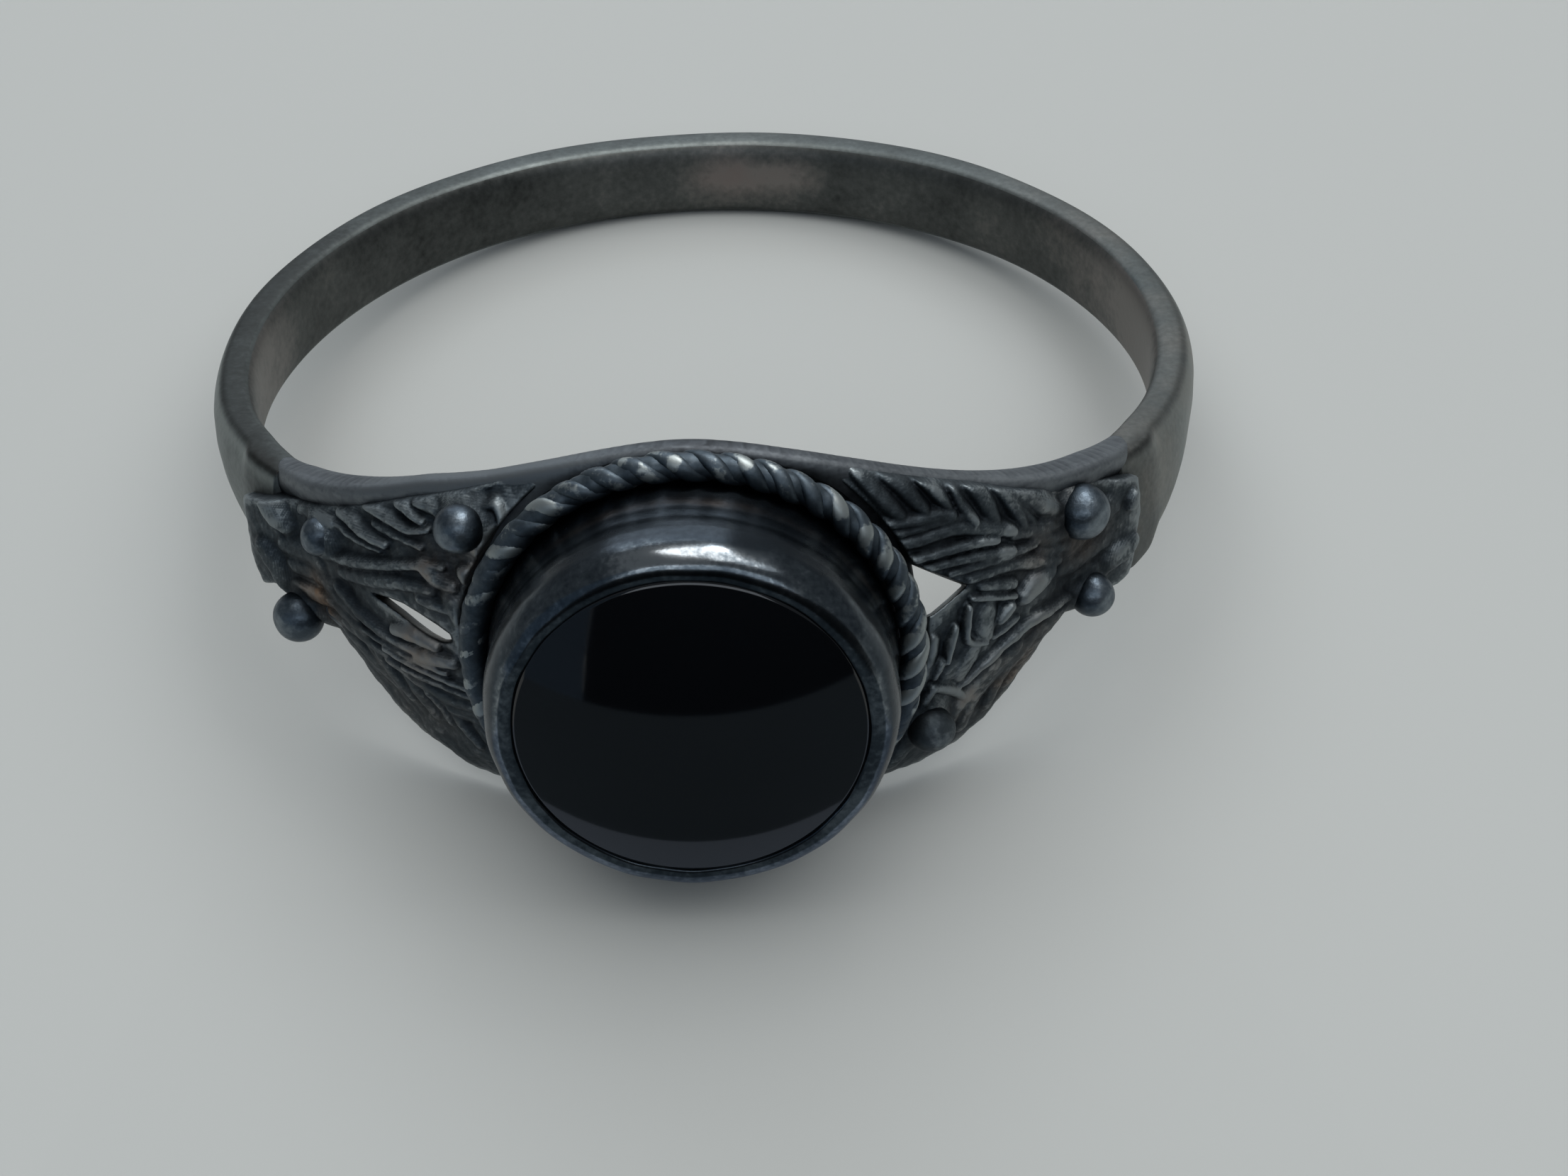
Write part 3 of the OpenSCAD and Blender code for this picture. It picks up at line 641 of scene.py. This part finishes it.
# The left casting's own barbs, drawn before its half turn: those of its upper rim and its end
left_upper_rim = [
    ([(44.6, -0.46), (41.1, -0.54), (37.3, -0.71), (33, -0.93), (29.2, -1.15), (25.6, -1.29)], 0.1,
     (0, 0.03, 0.04, 0.02, 0.02, 0), 0.16),
    ([(40.6, -1.42), (38.6, -1.42), (37.4, -1.37), (35.2, -1.32), (33.2, -1.3)], 0.11,
     (0, 0.05, 0.07, 0.02), 0.18),
    ([(37.4, -1.82), (34.4, -1.8), (31.3, -1.76), (29.9, -1.74), (27.6, -1.84)], 0.085,
     (0.03, 0.04, 0.06, 0), 0.17),
    ([(33.4, -2.14), (31.6, -2.1), (29.6, -1.99), (28.4, -1.94)], 0.08, (0.02, 0.04, 0.01), 0.16),
    ([(41.8, -1.18), (38, -1.1), (34, -1.12)], 0.07, (-0.05, -0.06, -0.08), 0.12),
    ([(35, -1.56), (31.5, -1.54), (28.4, -1.5)], 0.09, (-0.05, -0.04, -0.05), 0.13),
    ([(29.6, -2.2), (27, -2.2), (25.4, -2.0)], 0.1, (-0.03, -0.02, -0.05), 0.14),
    ([(47.6, -1.0), (45, -1.1), (41.8, -1.15)], 0.14, (0.03, 0.09, 0.03), 0.22),
    ([(52.8, -0.85), (51, -0.62), (50.2, -0.5)], 0.2, (0.04, 0.1, 0.04), 0.22),
    ([(28, -1.2), (26, -1.05), (24.4, -1.0)], 0.16, (0.02, 0.05, 0), 0.18),
    ([(21.8, -1.96), (20.8, -1.75), (20.2, -1.55)], 0.17, (0.05, 0.13, 0.08), 0.24),
    ([(22.9, -1.3), (21.8, -1.15)], 0.17, (0.04, 0.04), 0.2),
    ([(19.9, -1.05), (19.4, -0.9)], 0.1, (0.08, 0.08), 0.22),
    ([(24.8, -0.75), (24, -0.35)], 0.18, (-0.05, -0.07), 0.14),
    ([(20.9, -2.5), (19.6, -2.5), (18.4, -1.97)], 0.09, (0, 0.04, 0), 0.18),
    ([(40.5, -0.25), (35.5, -0.48), (31, -0.7), (27, -0.78)], 0.14, (-0.06, -0.03, -0.04), 0.14),
    ([(28.5, -0.55), (25.4, -0.5)], 0.12, (-0.03, -0.05), 0.14),
    ([(22.6, -2.75), (20.5, -2.95), (18.4, -3.1)], 0.13, (-0.04, -0.02, -0.04), 0.15),
]
left_end = [
    ([(49.8, 0.78), (46.4, 0.68), (42.6, 0.5)], 0.18, (0.03, 0.1, 0.04), 0.2),
    ([(49.6, 0.3), (46, 0.28), (42.5, 0.18)], 0.19, (-0.05, -0.04, -0.06), 0.13),
    ([(50.5, -0.1), (48, -0.1), (45, -0.05)], 0.2, (-0.06, -0.04, -0.06), 0.12),
    ([(53.6, 0.1), (52.2, 0.5), (51.6, 1.0)], 0.18, (0.02, 0.02, 0), 0.15),
    ([(32.4, 0.32), (29.6, 0.27), (27, 0.33)], 0.13, (0.04, 0.07, 0.05), 0.2),
    ([(29.6, 0.74), (27.2, 0.62), (25.2, 0.6)], 0.14, (0.03, 0.07, 0.04), 0.18),
]

# Cast silver, pitted from the mould, blackened and rubbed: matt grey ribs over black hollows
leaf_finish = oxidised_silver("oxidised_silver_cast_leaf",
                              [(0, "#1b1e21"), (0.3, "#292d31"), (0.6, "#3a4044"), (0.82, "#50575b"),
                               (1, "#868d8f")],
                              (0.66, 0.52), grain=0.11, wear_and_painted_light=0.75, bump=0.9)


def patches(spin, height, places):
    """Soft patches on a casting: angle, height, size, strength."""
    return sum(much * np.exp(-(((spin - a) * mm_per_degree) ** 2 + (height - z) ** 2) / size ** 2)
               for a, z, size, much in places)


def leaf_shoulder(name, end, end_drop, half_turn, sight, strokes, above, below, hole, balls,
                  rubbed_and_lit, stains):
    """One casting, drawn as it lies on the right. Its outline runs above and below along points of
    angle and height, and its end is lowered by end_drop. Its hole, drawn on its surface, is sawn
    along the line of sight: sight is the shift in angle and height for each millimetre down. It
    rises round the foot of each ball: angle, height, radius. Its patches of wear lighten worn places
    and paint highlights on facets that catch the light, with a few darker ones, and its stains are
    brown tarnish."""
    starts = (radians(leaf_from - 1), -leaf_top, finger_r + plate_t - 0.3)
    ends = (radians(end + 1), leaf_top, 10.3)
    axes = [np.arange(starts[i], ends[i], leaf_grid / (flat_r if i == 0 else 1)) for i in range(3)]
    angle, level = np.meshgrid(axes[0], axes[1], indexing="ij")
    degrees = np.degrees(angle)
    over = level - np.interp(degrees, *zip(*above))
    under = -level - np.interp(degrees, *zip(*below))
    outline = np.maximum(over, under)
    outline = np.maximum(outline, np.maximum(degrees - end, leaf_from - degrees) * mm_per_degree)
    outline = np.maximum(outline, border_r + rope_gap - np.hypot(flat_r * np.sin(angle), level))

    # Relief over the bellied surface, which rolls under along the edge that is lower on the ring
    roll = np.clip(1 + (over if half_turn else under) / roll_w, 0, 1) * smooth_step(53, 48, degrees)
    ground = -ground_depth + 0.02 * np.sin(angle * 61) * np.sin(level * 5 + 1)
    relief = ground + (feathered(angle, level, strokes, ground) - ground) * (1 - 0.95 * roll ** 0.7)
    # The left casting's lower barbs are worn to about half their height
    if half_turn:
        relief = ground + (relief - ground) * (1 - 0.45 * smooth_step(0.8, 1.5, level))
    for spin, height, radius in balls:
        gap = np.hypot((degrees - spin) * mm_per_degree, level - height)
        relief = soft_max(relief, 0.12 - np.maximum(gap - radius * 0.8, 0), 0.1)
    relief = (relief - roll_drop * (1 - np.sqrt(np.maximum(1 - roll ** 2, 0)))
              - end_drop * smooth_step(end - 3, end, degrees))
    relief = relief + 0.008 * np.sin(angle * 190 + 3 * level) * np.sin(level * 17 + 1.3)

    swell = bellied(angle, level, level if half_turn else -level)[:, :, None]
    reach = axes[2][None, None, :]
    field = rounded(0.8 * (reach - (swell + relief[:, :, None])), outline[:, :, None], 0.06)
    field = np.maximum(field, starts[2] + 0.1 - reach)
    down = np.maximum(swell - 0.1 - reach, 0)
    sawn_at = angle[:, :, None] + radians(sight[0]) * down - radians(shoulder_angle)
    gap = polygon_distance(flat_r * np.sin(sawn_at), level[:, :, None] + sight[1] * down, flat(hole))
    points, faces, wear_and_painted_light = skin_of(soft_max(field, -gap, 0.06), starts, leaf_grid, flat_r)
    spin, height = place_of(points)
    wear_and_painted_light = 0.5 + (wear_and_painted_light - 0.5) * 0.8 + 0.2 * smooth_step(end - 3.5, end - 0.5, spin)
    # The patches of wear add painted highlights on facets that catch the light, and darken a few places
    wear_and_painted_light = np.clip(wear_and_painted_light + patches(spin, height, rubbed_and_lit), 0, 1.4)
    brown = patches(spin, height, stains)
    if half_turn:
        points = points * (-1, 1, -1)
    made = add_piece(name, points, faces, wear_and_painted_light, leaf_finish, brown)
    count = sum(len(face.vertices) - 2 for face in made.data.polygons)
    thin_out(made, min(1, leaf_triangles / count), 1)


plate_edge = [(a, plate_half(a)) for a in range(15, 32, 2)]
plate_edge += [(36, 1.82), (41, 1.5), (45, 1.28), (50, 1.02), (54, 0.8), (59, 0.5)]
leaf_shoulder(
    "leaf_shoulder_right", end=55.4, end_drop=0.1, half_turn=False, sight=(-3.18, 0.76),
    strokes=upper_leaf + lower_leaf + right_end,
    above=plate_edge,
    below=[(15, 3.75), (25, 3.65), (30.5, 3.5), (32.5, 3.25), (35, 2.98), (38, 2.68), (40.5, 2.46),
           (42.5, 2.05), (44.5, 1.7), (48, 1.45), (52, 1.44), (57, 1.4)],
    hole=[(16, 1.75), (21.8, 1.36), (28.5, 0.56), (24.2, 0.24), (16, 0.15)],
    balls=[(45.1, 0.8, 0.45), (47.3, -1.12, 0.4), (24.6, -2.27, 0.42)],
    # Rubbed places and painted highlights on facets, and a few darker patches: angle, height, size,
    # strength
    rubbed_and_lit=[(37.4, -0.09, 0.3, 0.55), (37.5, -0.86, 0.22, 0.4), (33.4, -0.33, 0.2, 0.4),
            (28.7, -0.03, 0.22, 0.3), (29.4, -0.62, 0.2, 0.35), (26.3, -0.46, 0.22, 0.35),
            (26.6, -1.75, 0.3, 0.5), (29.5, -2.05, 0.3, 0.4), (34.0, 1.22, 0.16, 0.5),
            (33.3, 0.9, 0.16, 0.5), (31.0, 1.26, 0.16, 0.4), (29.6, 1.74, 0.18, 0.3),
            (26.0, 2.36, 0.2, 0.35), (40.3, 1.3, 0.3, 0.35), (30.9, 0.27, 0.2, 0.25),
            (51.1, -0.44, 0.2, 0.35), (29, -0.8, 1.4, 0.14), (31.5, -1.2, 0.5, 0.15),
            (25.5, 0.9, 1.2, -0.12), (43, 0.1, 0.6, -0.15), (22.5, 2.2, 0.8, -0.25)],
    stains=[(42, 0.5, 0.9, 0.35), (47, 0, 0.7, 0.4), (38, 0.8, 0.6, 0.2), (36, -2.1, 0.9, 0.5),
            (30, -2.4, 0.8, 0.4), (41, -1.6, 0.7, 0.4)])
leaf_shoulder(
    "leaf_shoulder_left", end=58.6, end_drop=0.04, half_turn=True, sight=(-4.69, -0.85),
    strokes=upper_leaf + left_upper_rim + left_end,
    above=[(15, 3.78), (27, 3.68), (30.2, 3.45), (34.3, 3.15), (37, 2.9), (40.9, 2.6), (42.5, 2.3),
           (44.5, 1.9), (47, 1.5), (50, 1.15), (52.5, 0.95), (54, 1.0), (57, 1.25), (58.6, 1.3)],
    below=plate_edge,
    hole=[(35.6, -0.2), (33, -0.28), (31, -0.3), (29, -0.24), (26.6, -0.13), (25, -0.02),
          (24.8, 0.13), (26, 0.2), (27.8, 0.16), (29.5, 0.07), (31.8, -0.06)],
    balls=[(43.6, -0.78, 0.36), (48.9, 1.3, 0.46), (23.2, -2.15, 0.42)],
    # Rubbed places and painted highlights on facets, and a few darker patches: angle, height, size,
    # strength
    rubbed_and_lit=[(51.4, -0.61, 0.2, 0.25), (43.2, -1.08, 0.25, 0.5), (20.8, -1.75, 0.3, 1.0),
            (22.3, -1.19, 0.22, 0.4), (29.7, 0.35, 0.3, 0.6), (27.5, 0.72, 0.3, 0.5),
            (23.2, 0.38, 0.25, 0.3), (46.2, 0.62, 0.25, 0.5), (27.4, -1.12, 0.25, 0.3),
            (18.4, -2.52, 0.25, 0.4), (19.3, -2.05, 0.25, 0.4), (19.6, -0.97, 0.18, 0.8),
            (31, 0.6, 1.4, 0.12), (37, -1.6, 1.4, 0.06), (39, 0.2, 0.7, -0.2)],
    stains=[(46, 0.66, 0.5, 1.6), (27, -1.15, 0.45, 0.9), (20.8, -1.75, 0.4, 0.6), (22, -1.2, 0.5, 0.4),
            (29.5, 0.28, 0.4, 0.4), (27.5, 0.65, 0.5, 0.4), (34, 1.8, 1.4, 0.35)])

# Granules: small balls of silver, melted round on charcoal and soldered where the leaves end.
# They take the most wear, so each is dark and shiny, with a slightly flattened crown.
crown, crown_left = 0.93, 0.2
# Each one's place, angle, height, how far its centre stands above the bore, and radius
granules = [("right_upper", 45.1, 0.8, 0.84, 0.5), ("right_lower", 47.4, -1.12, 0.86, 0.41),
            ("left_upper", -43.6, 0.78, 0.82, 0.36), ("left_lower", -49.4, -1.34, 0.9, 0.47),
            ("right_border", 24.6, -2.27, 1.02, 0.42), ("left_border", -23.2, 2.15, 1.04, 0.42)]

# Fused silver has a closed skin, so a blackened ball shines softly, lighter on its crown
granule_finish = oxidised_silver("oxidised_silver_granule",
                                 [(0, "#101316"), (0.4, "#2b3238"), (0.75, "#4f5860"), (1, "#7b848a")],
                                 (0.48, 0.38), patch=0.6, grain=0.1, recess=0.3, wear_and_painted_light=0.8, bump=0.8)

for number, (place, spin, level, rise, radius) in enumerate(granules):
    up, round_ = np.meshgrid(np.linspace(0, pi, 26)[1:-1], np.linspace(0, 2 * pi, 48, endpoint=False),
                             indexing="ij")
    ball = np.stack([np.sin(up) * np.cos(round_), -np.cos(up), np.sin(up) * np.sin(round_)], -1)
    lump = 1 + 0.018 * np.sin(3 * ball[..., 0] + number) + 0.014 * np.sin(5 * ball[..., 2] + 2 * number)
    ball = ball * lump[..., None]
    ball[..., 1] = np.maximum(ball[..., 1], crown_left * (ball[..., 1] + crown) - crown)
    ball = ball * radius + (0, -finger_r - rise, level)
    turned_to = radians(spin)
    x = ball[..., 0] * cos(turned_to) - ball[..., 1] * sin(turned_to)
    y = ball[..., 0] * sin(turned_to) + ball[..., 1] * cos(turned_to)
    points, faces = loft(np.stack([x, y, ball[..., 2]], -1))
    # The one at the right of the border lies in a hollow, where it stays as matt as the casting
    add_piece(f"granule_{place}", points, faces, 0.4 + 0.25 * np.cos(up).ravel(),
              leaf_finish if place == "right_border" else granule_finish)

# Stone: a low round cabochon of black onyx, a cut chalcedony that is ground to a dome and polished
# with oxide, so it is opaque and takes a glassy gloss. Only hair scratches break its reflections.
stone_r, girdle_h, dome_rise = 2.9, crest_h - 0.032, 0.6
girdle_r, stone_back_h, stone_back_r = 2.95, floor_h + 0.01, 0.02
dome_r = (stone_r ** 2 + dome_rise ** 2) / (2 * dome_rise)

# Polished chalcedony, nearly black right through, with clouds about 2 mm across that barely show.
# Its polishing lines, about 0.25 mm apart, are drawn far coarser than the real ones.
onyx = bpy.data.materials.new("polished_black_onyx")
onyx.use_nodes = True
tree = onyx.node_tree
surface = tree.nodes["Principled BSDF"]
surface.inputs["IOR"].default_value = 1.54
place = add_node(tree, "TexCoord").outputs["Object"]
cloud = add_node(tree, "TexNoise", {"Scale": 1000 / 2, "Detail": 4}, {"Vector": place}).outputs["Fac"]
colour = add_node(tree, "ValToRGB", links={"Fac": cloud})
colour.color_ramp.elements[0].color = linear("#030406")
colour.color_ramp.elements[1].color = linear("#05070a")
hair = add_node(tree, "TexNoise", {"Scale": 1000 / 0.25, "Detail": 3}, {"Vector": place}).outputs["Fac"]
polish = add_node(tree, "MapRange", {"To Min": 0.05, "To Max": 0.1}, {"Value": hair})
tree.links.new(colour.outputs["Color"], surface.inputs["Base Color"])
tree.links.new(polish.outputs[0], surface.inputs["Roughness"])

dome = [(stone_back_r, girdle_h + dome_rise)]
for r in stone_r * np.linspace(0.03, 1, 40):
    dome.append((r, girdle_h + dome_rise - dome_r + (dome_r ** 2 - r ** 2) ** 0.5))
profile = dome + [(stone_r + 0.02, girdle_h - 0.1), (girdle_r, girdle_h - 0.3),
                  (girdle_r, stone_back_h + 0.01), (stone_back_r, stone_back_h)]
points, faces = loft(turned(profile, 160)[::-1])
add_piece("onyx_cabochon", points, faces, np.full(len(points), 0.5), onyx,
          stands_for="onyx_stone")

# Stage: a pale matt table top, soft light from above and in front, four cards that only the
# polished surfaces see, and the camera. Its sizes are in metres, where the ring lies at rest.


def matt_finish(name, colour, roughness):
    """A plain matt finish of paper or paint."""
    made = bpy.data.materials.new(name)
    made.use_nodes = True
    surface = made.node_tree.nodes["Principled BSDF"]
    surface.inputs["Base Color"].default_value = linear(colour)
    surface.inputs["Roughness"].default_value = roughness
    return made


def stage_sheet(name, corners, finish):
    """A flat sheet with these corners, which isn't part of the ring."""
    mesh = bpy.data.meshes.new(name)
    mesh.from_pydata(corners, [], [range(len(corners))])
    mesh.materials.append(finish)
    made = bpy.data.objects.new(name, mesh)
    bpy.context.scene.collection.objects.link(made)
    return made


stage_sheet("table_top", [(-1, -1, 0), (1, -1, 0), (1, 1, 0), (-1, 1, 0)],
            matt_finish("matt_table_top", "#afb1ae", 0.8))

# The cards stand or lie before the head, and darken what the stone and the lip mirror. The black
# card stands for the camera's dark body and the navy card gives a painted reflection of a bluish
# window at the left. The slate and grey cards lie on the table as painted shade: they are what the
# stone mirrors of the table in the shade of the camera and of the head
cards = [
    ("black_card", "#0b0d10", [(-0.0108, -0.0273, 0.0002), (0.04, -0.0273, 0.0002),
                               (0.04, -0.029, 0.0155), (-0.0108, -0.029, 0.0155)]),
    ("navy_card", "#6b7d90", [(-0.06, -0.026, 0.0002), (-0.0109, -0.0274, 0.0002),
                              (-0.0109, -0.029, 0.03), (-0.06, -0.027, 0.03)]),
    ("slate_card", "#4b555b", [(-0.005, -0.0119, 0.0003), (0.005, -0.0119, 0.0003),
                               (0.0105, -0.0155, 0.0003), (0.022, -0.0268, 0.0003),
                               (0.05, -0.0275, 0.0003), (0.05, -0.032, 0.0003),
                               (-0.05, -0.032, 0.0003), (-0.05, -0.0295, 0.0003),
                               (-0.021, -0.0275, 0.0003), (-0.0105, -0.0155, 0.0003)]),
    ("grey_card", "#96a0ad", [(-0.0085, -0.0095, 0.0002), (0.0085, -0.0095, 0.0002),
                              (0.0105, -0.0155, 0.0002), (-0.0105, -0.0155, 0.0002)]),
]
for name, colour, corners in cards:
    card = stage_sheet(name, corners, matt_finish(name, colour, 0.9))
    card.visible_camera = card.visible_diffuse = card.visible_shadow = False
    card.visible_transmission = card.visible_volume_scatter = False

world = bpy.data.worlds.new("soft_room")
bpy.context.scene.world = world
world.use_nodes = True
world.node_tree.nodes["Background"].inputs["Color"].default_value = linear("#c3ccd4")
world.node_tree.nodes["Background"].inputs["Strength"].default_value = 0.3


def soft_light(name, place, size, power, colour="#ffffff", mirrored=None):
    """An area light that faces the ring. If mirrored is True only the metal's and the stone's
    gloss shows it, and if it is False only matt surfaces do."""
    lamp = bpy.data.lights.new(name, "AREA")
    lamp.shape, lamp.size, lamp.size_y = "RECTANGLE", size[0], size[1]
    lamp.energy, lamp.color = power, linear(colour)[:3]
    made = bpy.data.objects.new(name, lamp)
    bpy.context.scene.collection.objects.link(made)
    made.location = place
    made.rotation_euler = (-Vector(place)).to_track_quat("-Z", "Y").to_euler()
    made.visible_diffuse, made.visible_glossy = not mirrored, mirrored is not False


soft_light("overhead", (0.065, 0.04, 0.3), (0.24, 0.17), 0.46, mirrored=True)
soft_light("ceiling", (0.03, 0.03, 0.35), (0.7, 0.6), 1.9, mirrored=False)
soft_light("window", (0.05, 0.09, 0.22), (0.045, 0.03), 0.19, mirrored=True)
soft_light("front_fill", (0.02, -0.24, 0.2), (0.3, 0.12), 0.2, "#dfe8f2")
soft_light("back_fill", (-0.05, 0.3, 0.2), (0.3, 0.2), 0.3, "#dfe8f2")

lens = bpy.data.cameras.new("camera")
lens.sensor_fit, lens.sensor_width, lens.lens = "HORIZONTAL", 36, 63.848
lens.clip_start, lens.clip_end = 0.001, 10
camera = bpy.data.objects.new("camera", lens)
bpy.context.scene.collection.objects.link(camera)
camera.location = (0.0020281, -0.0412793, 0.0365745)
camera.rotation_euler = [radians(a) for a in (46.7691, 1.4046, -0.4901)]
bpy.context.scene.camera = camera
bpy.context.scene.view_settings.view_transform = "Standard"
